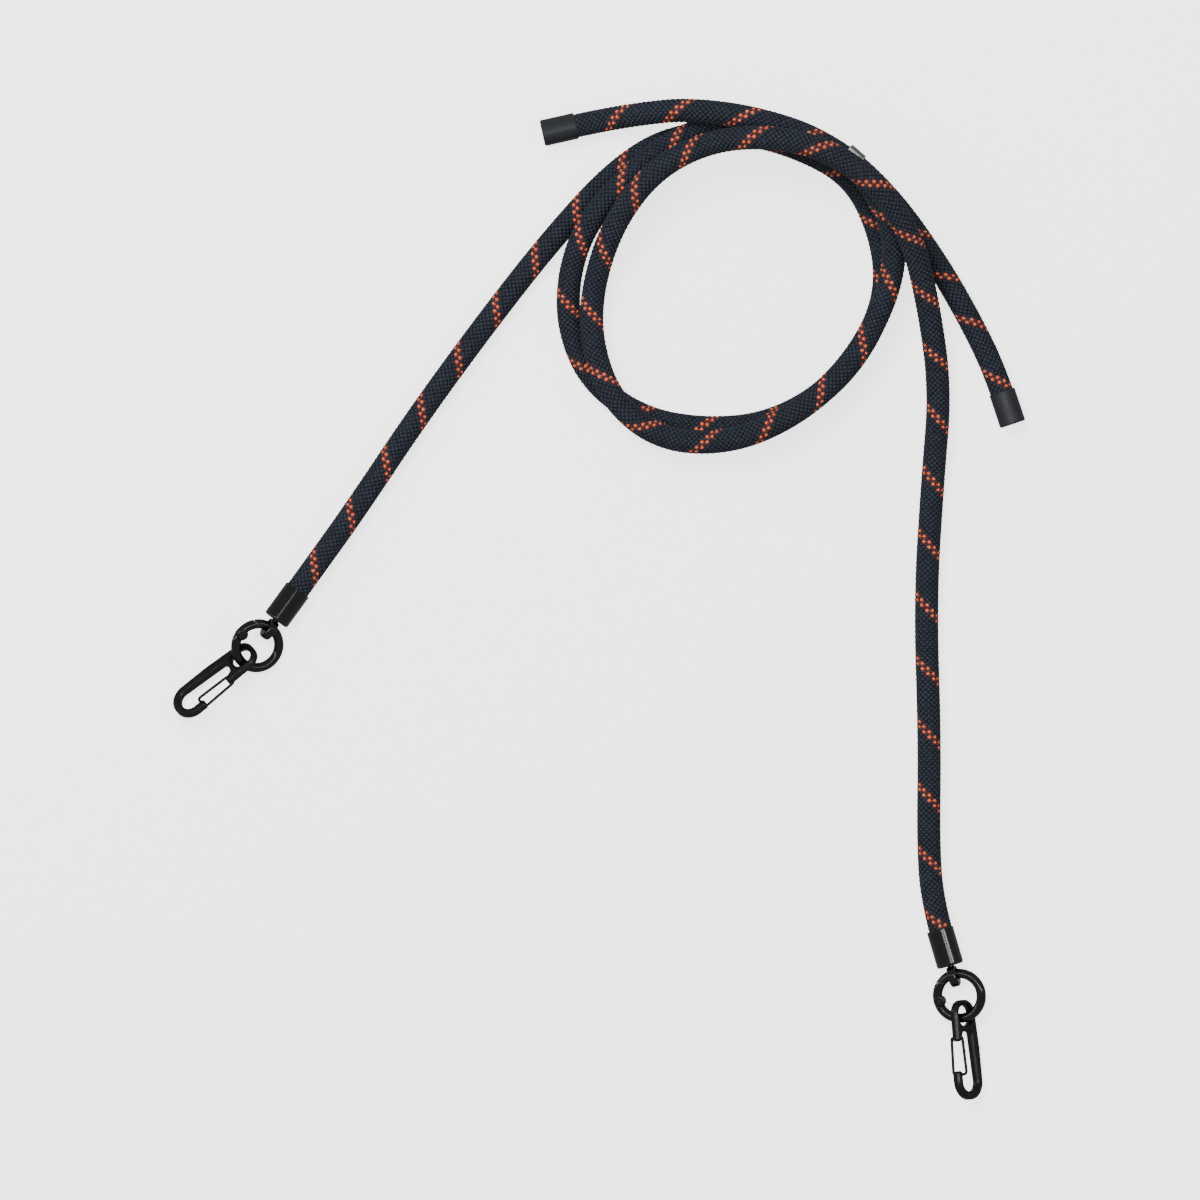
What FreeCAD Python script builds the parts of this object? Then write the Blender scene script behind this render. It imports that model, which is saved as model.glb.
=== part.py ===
import FreeCAD, Part
import math
import os

# A pair of carry straps made of braided climbing cord, laid down together in a double loop.
# Strap A lies on top and strap B underneath. Each strap is one length of cord with a closed
# cap on one end, and a ferrule with a swivel eye, a spring-gate ring and a snap hook on the
# other. Millimetres, +Z up; the origin is on the ground under the middle of the whole.

# ---- Cord -------------------------------------------------------------------------------
rope_d = 8.0
sheath_wall = 0.9
core_gap = 0.1
arc_share = 0.45         # of the shorter run, taken up by the arc at each of its ends

# Route points of the two cords, from the ferrule to the cap: x, y and height of the centre.
# A height of 4.0 is cord lying on the ground, and about 12.5 is cord lying on cord.
ROUTE_A = [
    (115.2, -117.9, 4.8),
    (110.2, -100.9, 4.8),
    (108.7, -80.9, 4.0),
    (109.2, -46.4, 4.0),
    (107.7, -0.4, 4.0),
    (110.2, 39.6, 4.0),
    (112.7, 69.1, 5.5),
    (108.7, 97.1, 11.5),
    (103.2, 119.1, 21.2),
    (91.7, 137.1, 27.8),
    (74.2, 148.6, 29.2),
    (54.7, 152.6, 28.0),
    (35.2, 150.6, 23.2),
    (17.7, 141.1, 20.8),
    (5.2, 124.6, 15.9),
    (-1.8, 104.6, 8.3),
    (-2.8, 85.6, 10.2),
    (4.2, 65.1, 13.2),
    (21.2, 52.1, 12.3),
    (44.7, 51.6, 12.3),
    (67.2, 62.1, 12.7),
    (84.7, 79.1, 12.5),
    (95.7, 100.6, 12.5),
    (98.2, 119.1, 14.0),
    (90.2, 137.1, 19.3),
    (74.2, 151.1, 20.7),
    (52.2, 158.6, 21.5),
    (29.7, 161.6, 18.3),
    (13.7, 160.1, 11.5),
    (-1.8, 157.6, 4.5),
    (-17.3, 154.1, 4.5),
]
ROUTE_B = [
    (-104.8, -4.4, 4.5),
    (-94.3, 10.1, 4.5),
    (-80.3, 29.6, 4.0),
    (-59.3, 61.1, 4.0),
    (-35.8, 93.1, 4.0),
    (-15.3, 119.1, 4.0),
    (4.7, 141.1, 4.0),
    (22.7, 152.6, 4.0),
    (44.7, 154.6, 4.0),
    (65.2, 149.6, 4.0),
    (83.7, 139.6, 4.0),
    (92.7, 121.6, 4.0),
    (95.2, 102.6, 4.0),
    (88.2, 84.1, 4.0),
    (74.2, 67.6, 4.0),
    (54.7, 57.6, 4.0),
    (33.2, 56.1, 4.0),
    (13.7, 60.1, 4.0),
    (-2.3, 71.6, 4.0),
    (-9.8, 88.1, 4.0),
    (-10.3, 105.6, 5.6),
    (-4.8, 122.6, 10.2),
    (6.2, 136.1, 12.0),
    (21.7, 149.6, 12.6),
    (38.2, 157.1, 12.4),
    (58.2, 157.1, 11.2),
    (78.7, 148.6, 12.2),
    (96.2, 132.6, 9.6),
    (111.7, 111.1, 4.8),
    (123.7, 90.1, 4.0),
    (131.2, 74.1, 4.4),
    (136.2, 59.1, 4.4),
]

# ---- Ferrule and end cap ----------------------------------------------------------------
socket_clear = 0.05      # cord in its ferrule or cap, per side
ferrule_wall = 0.45
ferrule_grip = 9.4       # length of cord inside the ferrule
ferrule_base = 1.6
ferrule_edge = 0.9
cap_wall = 0.35
cap_grip = 10.0
cap_base = 1.3
cap_gap = 0.1
cap_edge = 0.6
mouth_edge = 0.15

# ---- Swivel eye -------------------------------------------------------------------------
cord_gap = 0.35          # cord end to the swivel head
head_r = 2.3
head_t = 1.1
head_play = 0.1
shank_r = 1.15
shank_clear = 0.06
neck = 0.2               # free shank between the ferrule and the lug
lug_t = 3.0
lug_edge = 0.81          # rounding of the lug's rims
lug_shoulder = 0.62      # width of the lug at the shank, as a share of its full width
eye_root = 0.6           # lug between the shank and the eye
eye_side_wall = 1.1      # lug beside the eye
eye_wall = 2.15          # lug beyond the eye
eye_clear = 0.5          # ring in the eye, per side

# ---- Ring with a spring gate ------------------------------------------------------------
ring_od = 18.0
ring_tube = 3.2
knuckle_angle = -91.0    # round the ring, from the outward direction
gate_end_angle = -141.0
gate_gap = 0.15
latch_arc = 30.0         # stretch of the ring body that meets the gate's free end
gate_overcut = 20.0      # spare arc, trimmed where gate and ring body meet
knuckle_r = 2.0
knuckle_inset = 0.55
knuckle_edge = 0.7
tongue_t = 1.4
cheek_clear = 0.1
gate_pin_r = 0.55
gate_pin_clear = 0.07
coil_wire_r = 0.18
coil_pitch = 0.42
coil_turns = 1.25
coil_gap = 0.12
coil_end_gap = 0.025     # free height above and below the coil

# ---- Snap hook with a wire gate ---------------------------------------------------------
hook_reach = 27.1        # centre of the ring's tube to the end of the hook
hook_width = 12.5
hook_bar = 2.8
hook_thick = 3.0
hook_bevel = 0.7
hook_soft_edge = 0.4
slot_room_ahead = 1.0    # the slot past the ring's tube, towards the basket
slot_room_behind = 2.5
slot_room_side = 1.15
slot_top_wall = 1.9
slot_side_wall = 2.1
web = 1.9                # between the slot and the basket
arm_length = 3.2         # gate arm, past the web
arm_half_width = 1.1
nose_length = 3.4
nose_lip = 1.2           # nose tip to the middle of the wire's notch
corner_small = 0.9
corner_web = 1.3
head_flat = 0.4          # left at the top of the head, each side
basket_flat = 0.35
spine_bend = 20.0        # the slight bend half way along the spine
wire_d = 1.0
wire_side_gap = 0.35
wire_pin_depth = 0.9
wire_pin_clear = 0.06
wire_pin_back = 1.3      # end of the arm to the middle of the wire's pins
wire_flare = 0.55        # how much wider the wire loop is at the nose, per side
notch_clear = 0.12

# ---- Rounded ends of the lug, the hook and its slot -------------------------------------
end_flat = 0.15          # left between the two corners of a rounded end

# ---- How the fittings lie ---------------------------------------------------------------
# roll: tilt of ring and swivel about the cord; ring_spot: where the hook hangs on the ring;
# hook_yaw: the hook's turn in plan; gate_roll: how far its gate side is rolled up.
LAY_A = {"roll": 14.0, "ring_spot": -8.0, "hook_yaw": -11.5, "hook_rise": 2.8, "gate_roll": 132.0}
LAY_B = {"roll": -21.0, "ring_spot": -15.0, "hook_yaw": -15.0, "hook_rise": -1.8, "gate_roll": 37.0}

# ---- Folded side tab --------------------------------------------------------------------
tab_run = 24             # the tab sits half way along this run of strap A
tab_length = 6.0
tab_width = 3.1
tab_leaf = 0.35
tab_fold_gap = 0.25
tab_seat_gap = 0.05
tab_seat_angle = 60.0    # up the side of the cord
tab_droop = 10.0

# ---- Derived sizes ----------------------------------------------------------------------
rope_r = rope_d / 2
socket_r = rope_r + socket_clear
cavity = cord_gap + head_t + head_play
face_x = cavity + ferrule_base
ring_r = (ring_od - ring_tube) / 2
tube_r = ring_tube / 2
eye_r = tube_r + eye_clear
eye_x = face_x + neck + eye_root + eye_r
lug_half_width = eye_r + eye_side_wall
slot_ahead = tube_r + slot_room_ahead
slot_start = -tube_r - slot_room_behind
slot_width = ring_tube + 2 * slot_room_side
head_half = slot_width / 2 + slot_side_wall
pin_v = head_half - arm_half_width
wire_r = wire_d / 2

X = FreeCAD.Vector(1, 0, 0)
Y = FreeCAD.Vector(0, 1, 0)
Z = FreeCAD.Vector(0, 0, 1)
ORIGIN = FreeCAD.Vector(0, 0, 0)


def vec(x, y, z=0.0):
    return FreeCAD.Vector(x, y, z)


def unit(v):
    return v / v.Length


def turned(axis, degrees):
    return FreeCAD.Placement(ORIGIN, FreeCAD.Rotation(axis, degrees))


def placed(shape, placement):
    moved = shape.copy()
    moved.Placement = placement.multiply(moved.Placement)
    return moved


# ---- Cord path and tubes ----------------------------------------------------------------
def cord_path(points, name):
    """Straight runs joined by tangent arcs, each as large as its two runs allow."""
    pts = [vec(*p) for p in points]
    edges = []
    radii = []
    here = pts[0]
    for before, corner, after in zip(pts, pts[1:], pts[2:]):
        run_in, run_out = corner - before, after - corner
        u_in, u_out = unit(run_in), unit(run_out)
        half_turn = u_in.getAngle(u_out) / 2
        setback = arc_share * min(run_in.Length, run_out.Length)
        radius = setback / math.tan(half_turn)
        radii.append(radius)
        start, end = corner - u_in * setback, corner + u_out * setback
        inward = unit(u_out - u_in)
        crown = corner + inward * (radius / math.cos(half_turn) - radius)
        edges.append(Part.LineSegment(here, start).toShape())
        edges.append(Part.Arc(start, crown, end).toShape())
        here = end
    edges.append(Part.LineSegment(here, pts[-1]).toShape())
    wire = Part.Wire(edges)
    print(name, "length", round(wire.Length, 1), "smallest radius", round(min(radii), 1))
    print("  radii", [round(r) for r in radii])
    return wire


def sweep(path, points, radius):
    start, heading = vec(*points[0]), vec(*points[1]) - vec(*points[0])
    profile = Part.Wire([Part.makeCircle(radius, start, heading)])
    return path.makePipeShell([profile], True, False)


def make_cord(points, name):
    path = cord_path(points, name)
    core_r = rope_r - sheath_wall - core_gap
    sheath = sweep(path, points, rope_r).cut(sweep(path, points, rope_r - sheath_wall))
    core = sweep(path, points, core_r)
    ideal = math.pi * core_r ** 2 * path.Length
    print("  core volume over section times length", round(core.Volume / ideal, 5))
    return sheath, core


# ---- Small shape helpers ----------------------------------------------------------------
def round_outline(corners):
    """A closed wire through corners (x, y, radius), each corner rounded by its radius."""
    count = len(corners)
    edges = []
    ends = []
    for i, (x, y, radius) in enumerate(corners):
        corner = vec(x, y)
        u_in = unit(corner - vec(*corners[i - 1][:2]))
        u_out = unit(vec(*corners[(i + 1) % count][:2]) - corner)
        half_turn = u_in.getAngle(u_out) / 2
        setback = radius * math.tan(half_turn)
        crown = corner + unit(u_out - u_in) * (radius / math.cos(half_turn) - radius)
        ends.append((corner - u_in * setback, crown, corner + u_out * setback))
    for i, (start, crown, end) in enumerate(ends):
        edges.append(Part.Arc(start, crown, end).toShape())
        following = ends[(i + 1) % count][0]
        if end.distanceToPoint(following) > 1e-6:
            edges.append(Part.LineSegment(end, following).toShape())
    return Part.Wire(edges)


def plate(corners, thickness):
    face = Part.Face(round_outline(corners))
    face.translate(Z * (-thickness / 2))
    return face.extrude(Z * thickness)


def disc(radius, low, high, centre=ORIGIN):
    return Part.makeCylinder(radius, high - low, centre + Z * low, Z)


def rod(radius, start, end, direction=X):
    """A cylinder on the X axis, or along another direction, from start to end."""
    return Part.makeCylinder(radius, end - start, direction * start, direction)


def edges_at(shape, x, radius):
    """The circular edges about the X axis at one place and of one radius."""
    found = []
    for edge in shape.Edges:
        curve = edge.Curve
        if isinstance(curve, Part.Circle) and abs(curve.Center.x - x) < 1e-4:
            if abs(curve.Radius - radius) < 1e-4:
                found.append(edge)
    return found


def full_round(half_width):
    """The corner radius of a rounded end. A short flat is left between its two corners."""
    return half_width - end_flat


def edges_at_height(shape, height):
    """The edges that lie flat at a height above the middle plane, and those as far below it."""
    return [e for e in shape.Edges if abs(abs(e.CenterOfMass.z) - height) < 1e-4]


# ---- Ferrule, cap and swivel: cord end at x = 0, +X away from the cord -------------------
def make_ferrule():
    outer_r = socket_r + ferrule_wall
    shell = rod(outer_r, -ferrule_grip, face_x)
    shell = shell.makeFillet(ferrule_edge, edges_at(shell, face_x, outer_r))
    shell = shell.makeFillet(mouth_edge, edges_at(shell, -ferrule_grip, outer_r))
    shell = shell.cut(rod(socket_r, -ferrule_grip - 1, cavity))
    return shell.cut(rod(shank_r + shank_clear, 0, face_x + 1))


def make_cap():
    outer_r = socket_r + cap_wall
    end = cap_gap + cap_base
    shell = rod(outer_r, -cap_grip, end)
    shell = shell.makeFillet(cap_edge, edges_at(shell, end, outer_r))
    shell = shell.makeFillet(mouth_edge, edges_at(shell, -cap_grip, outer_r))
    return shell.cut(rod(socket_r, -cap_grip - 1, cap_gap))


def make_swivel_eye():
    head_x = cavity - head_play - head_t
    lug_start = face_x + neck
    lug_end = eye_x + eye_r + eye_wall
    stem = rod(head_r, head_x, head_x + head_t)
    stem = stem.fuse(rod(shank_r, head_x, lug_start + eye_root))
    shoulder = lug_half_width * lug_shoulder
    outline = [
        (lug_start, -shoulder, shank_r / 2),
        (eye_x, -lug_half_width, lug_half_width / 2),
        (lug_end, -lug_half_width, full_round(lug_half_width)),
        (lug_end, lug_half_width, full_round(lug_half_width)),
        (eye_x, lug_half_width, lug_half_width / 2),
        (lug_start, shoulder, shank_r / 2),
    ]
    lug = plate(outline, lug_t)
    lug = lug.makeFillet(lug_edge, edges_at_height(lug, lug_t / 2))
    lug.rotate(ORIGIN, X, 90)
    eye = Part.makeCylinder(eye_r, 2 * lug_t, vec(eye_x, lug_t), Y * -1)
    return stem.fuse(lug).removeSplitter().cut(eye)


# ---- Ring: centre at the origin, lying in XY, +X away from the cord ----------------------
def on_ring(radius, degrees):
    a = math.radians(degrees)
    return vec(radius * math.cos(a), radius * math.sin(a))


def ring_arc(start, end):
    section = Part.Wire([Part.makeCircle(tube_r, vec(ring_r, 0), Y)])
    tube = Part.Face(section).revolve(ORIGIN, Z, end - start)
    tube.rotate(ORIGIN, Z, start)
    return tube


KNUCKLE = on_ring(ring_r - knuckle_inset, knuckle_angle)


def gate_reach():
    """From the knuckle to the gate's free end, which is cut round about the knuckle."""
    return (on_ring(ring_r, gate_end_angle) - KNUCKLE).Length


def make_ring_body():
    seam = gate_end_angle - latch_arc
    latch = ring_arc(seam, gate_end_angle + gate_overcut)
    latch = latch.cut(disc(gate_reach() + gate_gap, -2 * tube_r, 2 * tube_r, KNUCKLE))
    arc = ring_arc(knuckle_angle, seam + 360).fuse(latch)
    cheek_room = knuckle_r + cheek_clear
    half_tongue = tongue_t / 2
    for low, high in ((half_tongue, tube_r + 1), (-tube_r - 1, -half_tongue)):
        arc = arc.cut(disc(cheek_room, low, high, KNUCKLE))
    body = arc.fuse(disc(knuckle_r, -half_tongue, half_tongue, KNUCKLE))
    body = body.cut(disc(gate_pin_r + gate_pin_clear, -2 * tube_r, 2 * tube_r, KNUCKLE))
    recess_r = gate_pin_r + coil_gap + 2 * coil_wire_r + coil_gap
    recess = disc(recess_r, coil_floor(), half_tongue + 1, KNUCKLE)
    return body.cut(recess).removeSplitter()


def coil_floor():
    return tongue_t / 2 - (coil_turns * coil_pitch + 2 * (coil_wire_r + coil_end_gap))


def make_ring_gate():
    slab = tongue_t / 2 + cheek_clear
    barrel = disc(knuckle_r, -tube_r, tube_r, KNUCKLE)
    barrel = barrel.makeFillet(knuckle_edge, [e for e in barrel.Edges if isinstance(e.Curve, Part.Circle)])
    arc = ring_arc(gate_end_angle - gate_overcut, knuckle_angle - math.degrees(gate_gap / ring_r))
    gate = arc.common(disc(gate_reach(), -2 * tube_r, 2 * tube_r, KNUCKLE)).fuse(barrel)
    gate = gate.cut(disc(knuckle_r + cheek_clear, -slab, slab, KNUCKLE))
    return gate.cut(disc(gate_pin_r, -2 * tube_r, 2 * tube_r, KNUCKLE)).removeSplitter()


def make_gate_pin():
    return disc(gate_pin_r, -tube_r, tube_r, KNUCKLE)


def make_gate_spring():
    coil_r = gate_pin_r + coil_gap + coil_wire_r
    per_turn = 16
    steps = round(coil_turns * per_turn)
    spots = [on_ring(coil_r, 360 * k / per_turn) + Z * (coil_pitch * k / per_turn) for k in range(steps + 1)]
    arcs = [Part.Arc(*spots[k:k + 3]).toShape() for k in range(0, steps - 1, 2)]
    heading = Y * (math.tau * coil_r) + Z * coil_pitch
    section = Part.Wire([Part.makeCircle(coil_wire_r, spots[0], heading)])
    coil = Part.Wire(arcs).makePipeShell([section], True, False)
    coil.translate(KNUCKLE + Z * (coil_floor() + coil_wire_r + coil_end_gap))
    return coil


# ---- Hook: centre of the ring's tube at the origin, +X to the basket, +Y to the gate -----
def hook_marks():
    """The places that several pieces of the hook share."""
    web_end = slot_ahead + web
    arm_end = web_end + arm_length
    basket_x = hook_reach - hook_width / 2
    nose_tip = basket_x - nose_length
    return web_end, arm_end, basket_x, nose_tip


def crossbar_spot():
    nose_tip = hook_marks()[3]
    return vec(nose_tip + nose_lip, hook_width / 2 - hook_bar + wire_r / 2)


def make_hook_body():
    web_end, arm_end, basket_x, nose_tip = hook_marks()
    half = hook_width / 2
    inner = half - hook_bar
    head_top = slot_start - slot_top_wall
    arm_inner = pin_v - arm_half_width
    outline = [
        (head_top, -head_half, head_half - head_flat),
        (head_top, head_half, head_half - head_flat),
        (arm_end, head_half + end_flat, corner_small),
        (arm_end, arm_inner, corner_small),
        (web_end, arm_inner - corner_web, corner_web),
        (web_end, hook_bar - head_half, corner_web),
        (hook_reach - hook_bar, -inner, inner - basket_flat),
        (hook_reach - hook_bar, inner, inner - basket_flat),
        (nose_tip, inner, corner_small),
        (nose_tip, half, corner_small),
        (hook_reach, half, full_round(half)),
        (hook_reach, -half, full_round(half)),
        (basket_x / 2, end_flat - half, spine_bend),
    ]
    body = plate(outline, hook_thick)
    slot_half = slot_width / 2
    slot_corner = full_round(slot_half)
    slot = plate([
        (slot_start, -slot_half, slot_corner),
        (slot_start, slot_half, slot_corner),
        (slot_ahead, slot_half, slot_corner),
        (slot_ahead, -slot_half, slot_corner),
    ], hook_thick + 1)
    body = body.cut(slot)
    body = body.makeChamfer(hook_bevel, edges_at_height(body, hook_thick / 2))
    ridges = edges_at_height(body, hook_thick / 2) + edges_at_height(body, hook_thick / 2 - hook_bevel)
    body = body.makeFillet(hook_soft_edge, ridges)
    bar = crossbar_spot()
    notch_r = wire_r + notch_clear
    body = body.cut(disc(notch_r, -hook_thick, hook_thick, bar))
    pivot = hook_pivot()
    return body.cut(disc(wire_r + wire_pin_clear, -hook_thick, hook_thick, pivot))


def hook_pivot():
    return vec(hook_marks()[1] - wire_pin_back, pin_v)


def make_wire_gate():
    """A closed-end loop of wire with its two tips turned into the gate arm."""
    pivot, bar = hook_pivot(), crossbar_spot()
    side = hook_thick / 2 + wire_side_gap + wire_r
    tip = hook_thick / 2 - wire_pin_depth
    loop_bend, pin_bend = wire_d * 1.1, wire_d * 0.75
    corners = [
        (pivot, tip),
        (pivot, side),
        (bar, side + wire_flare),
        (bar, -side - wire_flare),
        (pivot, -side),
        (pivot, -tip),
    ]
    pts = [vec(p.x, p.y, w) for p, w in corners]
    edges = []
    here = pts[0]
    for i in range(1, len(pts) - 1):
        u_in, u_out = unit(pts[i] - pts[i - 1]), unit(pts[i + 1] - pts[i])
        half_turn = u_in.getAngle(u_out) / 2
        radius = loop_bend if i in (2, 3) else pin_bend
        setback = radius * math.tan(half_turn)
        start, end = pts[i] - u_in * setback, pts[i] + u_out * setback
        crown = pts[i] + unit(u_out - u_in) * (radius / math.cos(half_turn) - radius)
        edges.append(Part.LineSegment(here, start).toShape())
        edges.append(Part.Arc(start, crown, end).toShape())
        here = end
    edges.append(Part.LineSegment(here, pts[-1]).toShape())
    section = Part.Wire([Part.makeCircle(wire_r, pts[0], pts[1] - pts[0])])
    return Part.Wire(edges).makePipeShell([section], True, False)


# ---- Side tab ---------------------------------------------------------------------------
def make_side_tab():
    """A short tape folded in half, sewn on high up the outer side of strap A."""
    before, after = vec(*ROUTE_A[tab_run]), vec(*ROUTE_A[tab_run + 1])
    along = unit(after - before)
    outward = unit(Z.cross(along)) * -1
    up = unit(outward.cross(along))
    seat = math.radians(tab_seat_angle)
    droop = math.radians(tab_droop)
    root = (before + after) / 2 + (outward * math.cos(seat) + up * math.sin(seat)) * (rope_r + tab_seat_gap)
    leaf_dir = outward * math.cos(droop) - up * math.sin(droop)
    normal = up * math.cos(droop) + outward * math.sin(droop)
    across = normal.cross(leaf_dir)
    thick = 2 * tab_leaf + tab_fold_gap
    frame = FreeCAD.Matrix(
        leaf_dir.x, across.x, normal.x, root.x,
        leaf_dir.y, across.y, normal.y, root.y,
        leaf_dir.z, across.z, normal.z, root.z,
        0, 0, 0, 1)
    block = Part.makeBox(tab_width, tab_length, thick, vec(0, -tab_length / 2, 0))
    fold = [e for e in block.Edges if abs(e.CenterOfMass.x - tab_width) < 1e-4
            and abs(e.CenterOfMass.y) < 1e-4]
    block = block.makeFillet(thick * 0.49, fold)
    gap = Part.makeBox(tab_width - tab_leaf * 2, tab_length + 2, tab_fold_gap,
                       vec(-1, -tab_length / 2 - 1, tab_leaf))
    tab = block.cut(gap)
    tab.Placement = FreeCAD.Placement(frame)
    return tab


# ---- Put the straps together ------------------------------------------------------------
def end_frame(points, last):
    """The frame of a cord end: origin on its cut face, +X away from the cord."""
    end, inside = (points[-1], points[-2]) if last else (points[0], points[1])
    away = vec(*end) - vec(*inside)
    heading = math.degrees(math.atan2(away.y, away.x))
    return FreeCAD.Placement(vec(*end), FreeCAD.Rotation(Z, heading)), heading


def show_joint(name, placement, spot, axis):
    pos = placement.multVec(spot)
    way = placement.Rotation.multVec(axis)
    print("joint", name, "pos", [round(c, 3) for c in pos], "axis", [round(c, 5) for c in way])


def make_strap(letter, points, lay):
    nodes = {}
    strap = "strap_" + letter + "_"
    nodes["rope_sheath"], nodes["rope_core"] = make_cord(points, strap + "rope")

    cap_frame, _ = end_frame(points, True)
    nodes["end_cap"] = placed(make_cap(), cap_frame)

    ferrule_frame, heading = end_frame(points, False)
    nodes["ferrule"] = placed(make_ferrule(), ferrule_frame)

    swivel_frame = ferrule_frame.multiply(turned(X, lay["roll"]))
    nodes["swivel_eye"] = placed(make_swivel_eye(), swivel_frame)
    show_joint(strap + "swivel", swivel_frame, vec(eye_x, 0), X)

    ring_frame = swivel_frame.multiply(FreeCAD.Placement(vec(eye_x + ring_r, 0), FreeCAD.Rotation()))
    nodes["ring_body"] = placed(make_ring_body(), ring_frame)
    nodes["ring_gate"] = placed(make_ring_gate(), ring_frame)
    nodes["ring_gate_pin"] = placed(make_gate_pin(), ring_frame)
    nodes["ring_gate_spring"] = placed(make_gate_spring(), ring_frame)
    show_joint(strap + "ring_swing", ring_frame, vec(-ring_r, 0), Y)
    show_joint(strap + "ring_gate", ring_frame, KNUCKLE, Z * -1)

    spot = on_ring(ring_r, lay["ring_spot"])
    tangent = on_ring(1.0, lay["ring_spot"] + 90)
    lie = turned(Z, heading + lay["hook_yaw"]).multiply(turned(Y, -lay["hook_rise"]))
    lie = lie.multiply(turned(X, lay["gate_roll"]))
    hook_frame = FreeCAD.Placement(ring_frame.multVec(spot), lie.Rotation)
    nodes["hook_body"] = placed(make_hook_body(), hook_frame)
    nodes["hook_wire_gate"] = placed(make_wire_gate(), hook_frame)
    show_joint(strap + "hook_swing", ring_frame, spot, tangent)
    show_joint(strap + "hook_gate", hook_frame, hook_pivot(), Z * -1)
    basket = [round(c, 3) for c in hook_frame.multVec(vec((hook_marks()[0] + hook_reach) / 2, 0))]
    facing = [round(c, 5) for c in hook_frame.Rotation.multVec(Z)]
    print("basket", strap[:-1], "centre", basket, "normal", facing)
    return {strap + name: shape for name, shape in nodes.items()}


def main():
    nodes = {}
    nodes.update(make_strap("a", ROUTE_A, LAY_A))
    nodes.update(make_strap("b", ROUTE_B, LAY_B))
    nodes["strap_a_side_tab"] = make_side_tab()

    os.makedirs("parts", exist_ok=True)
    for name, shape in nodes.items():
        solids = shape.Solids
        single = solids[0] if len(solids) == 1 else shape
        single.exportStep(os.path.join("parts", name + ".step"))
        print(name, "solids", len(solids), "valid", shape.isValid(), "volume", round(shape.Volume, 2))


main()
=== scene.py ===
# %% [markdown]
# # A pair of braided cord straps
# Two lengths of kernmantle cord lie on a pale table in a loose double loop. Each has a turned
# cap on one end, and a ferrule with a swivel, a spring-gate ring and a snap hook on the other.
# The whole could be modelled by eye in Blender, but then its joints and sizes would be guesses.
# So the solid model comes in first as a fixed frame. The soft cords are then made again as real
# braided surfaces, and the metal pieces get their finishes.

import math

import bpy
import numpy as np
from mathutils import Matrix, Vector


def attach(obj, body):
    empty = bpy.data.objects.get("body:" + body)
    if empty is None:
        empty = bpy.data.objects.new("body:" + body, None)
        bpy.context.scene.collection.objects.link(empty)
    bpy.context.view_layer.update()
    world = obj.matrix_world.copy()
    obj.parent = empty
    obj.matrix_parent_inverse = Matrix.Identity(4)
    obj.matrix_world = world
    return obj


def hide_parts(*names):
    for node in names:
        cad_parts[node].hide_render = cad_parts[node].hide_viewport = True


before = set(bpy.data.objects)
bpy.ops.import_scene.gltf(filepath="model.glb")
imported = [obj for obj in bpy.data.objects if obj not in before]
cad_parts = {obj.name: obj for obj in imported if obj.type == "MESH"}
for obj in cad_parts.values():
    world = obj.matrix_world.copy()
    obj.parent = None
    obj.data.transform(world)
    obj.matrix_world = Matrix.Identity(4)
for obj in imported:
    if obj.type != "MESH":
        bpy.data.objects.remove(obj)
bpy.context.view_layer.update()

# %% [markdown]
# ## The camera
# The straps are seen from straight above. An orthographic camera would show no perspective at
# all, and a short lens would make the cord that lies high up in the loop look thicker. A long
# lens from far away sits between the two: it behaves like a real camera, and the thickness of
# the cord stays nearly even.

# %% Camera straight above
METRE_IN_MM = 1000
VIEW_WIDTH = 0.396
VIEW_CENTRE = (0.0004, -0.0002)
CAMERA_HEIGHT = 8.0
MIDDLE_OF_CORD = 0.004
SENSOR = 0.036
NEAREST_SEEN, FARTHEST_SEEN = 0.05, 20.0

camera_data = bpy.data.cameras.new("camera")
camera = bpy.data.objects.new("camera", camera_data)
bpy.context.scene.collection.objects.link(camera)
camera.location = (*VIEW_CENTRE, CAMERA_HEIGHT)
camera_data.sensor_width = SENSOR * METRE_IN_MM
camera_data.lens = METRE_IN_MM * SENSOR * (CAMERA_HEIGHT - MIDDLE_OF_CORD) / VIEW_WIDTH
camera_data.clip_start, camera_data.clip_end = NEAREST_SEEN, FARTHEST_SEEN
bpy.context.scene.camera = camera
print("lens", round(camera_data.lens, 1), "mm")
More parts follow.
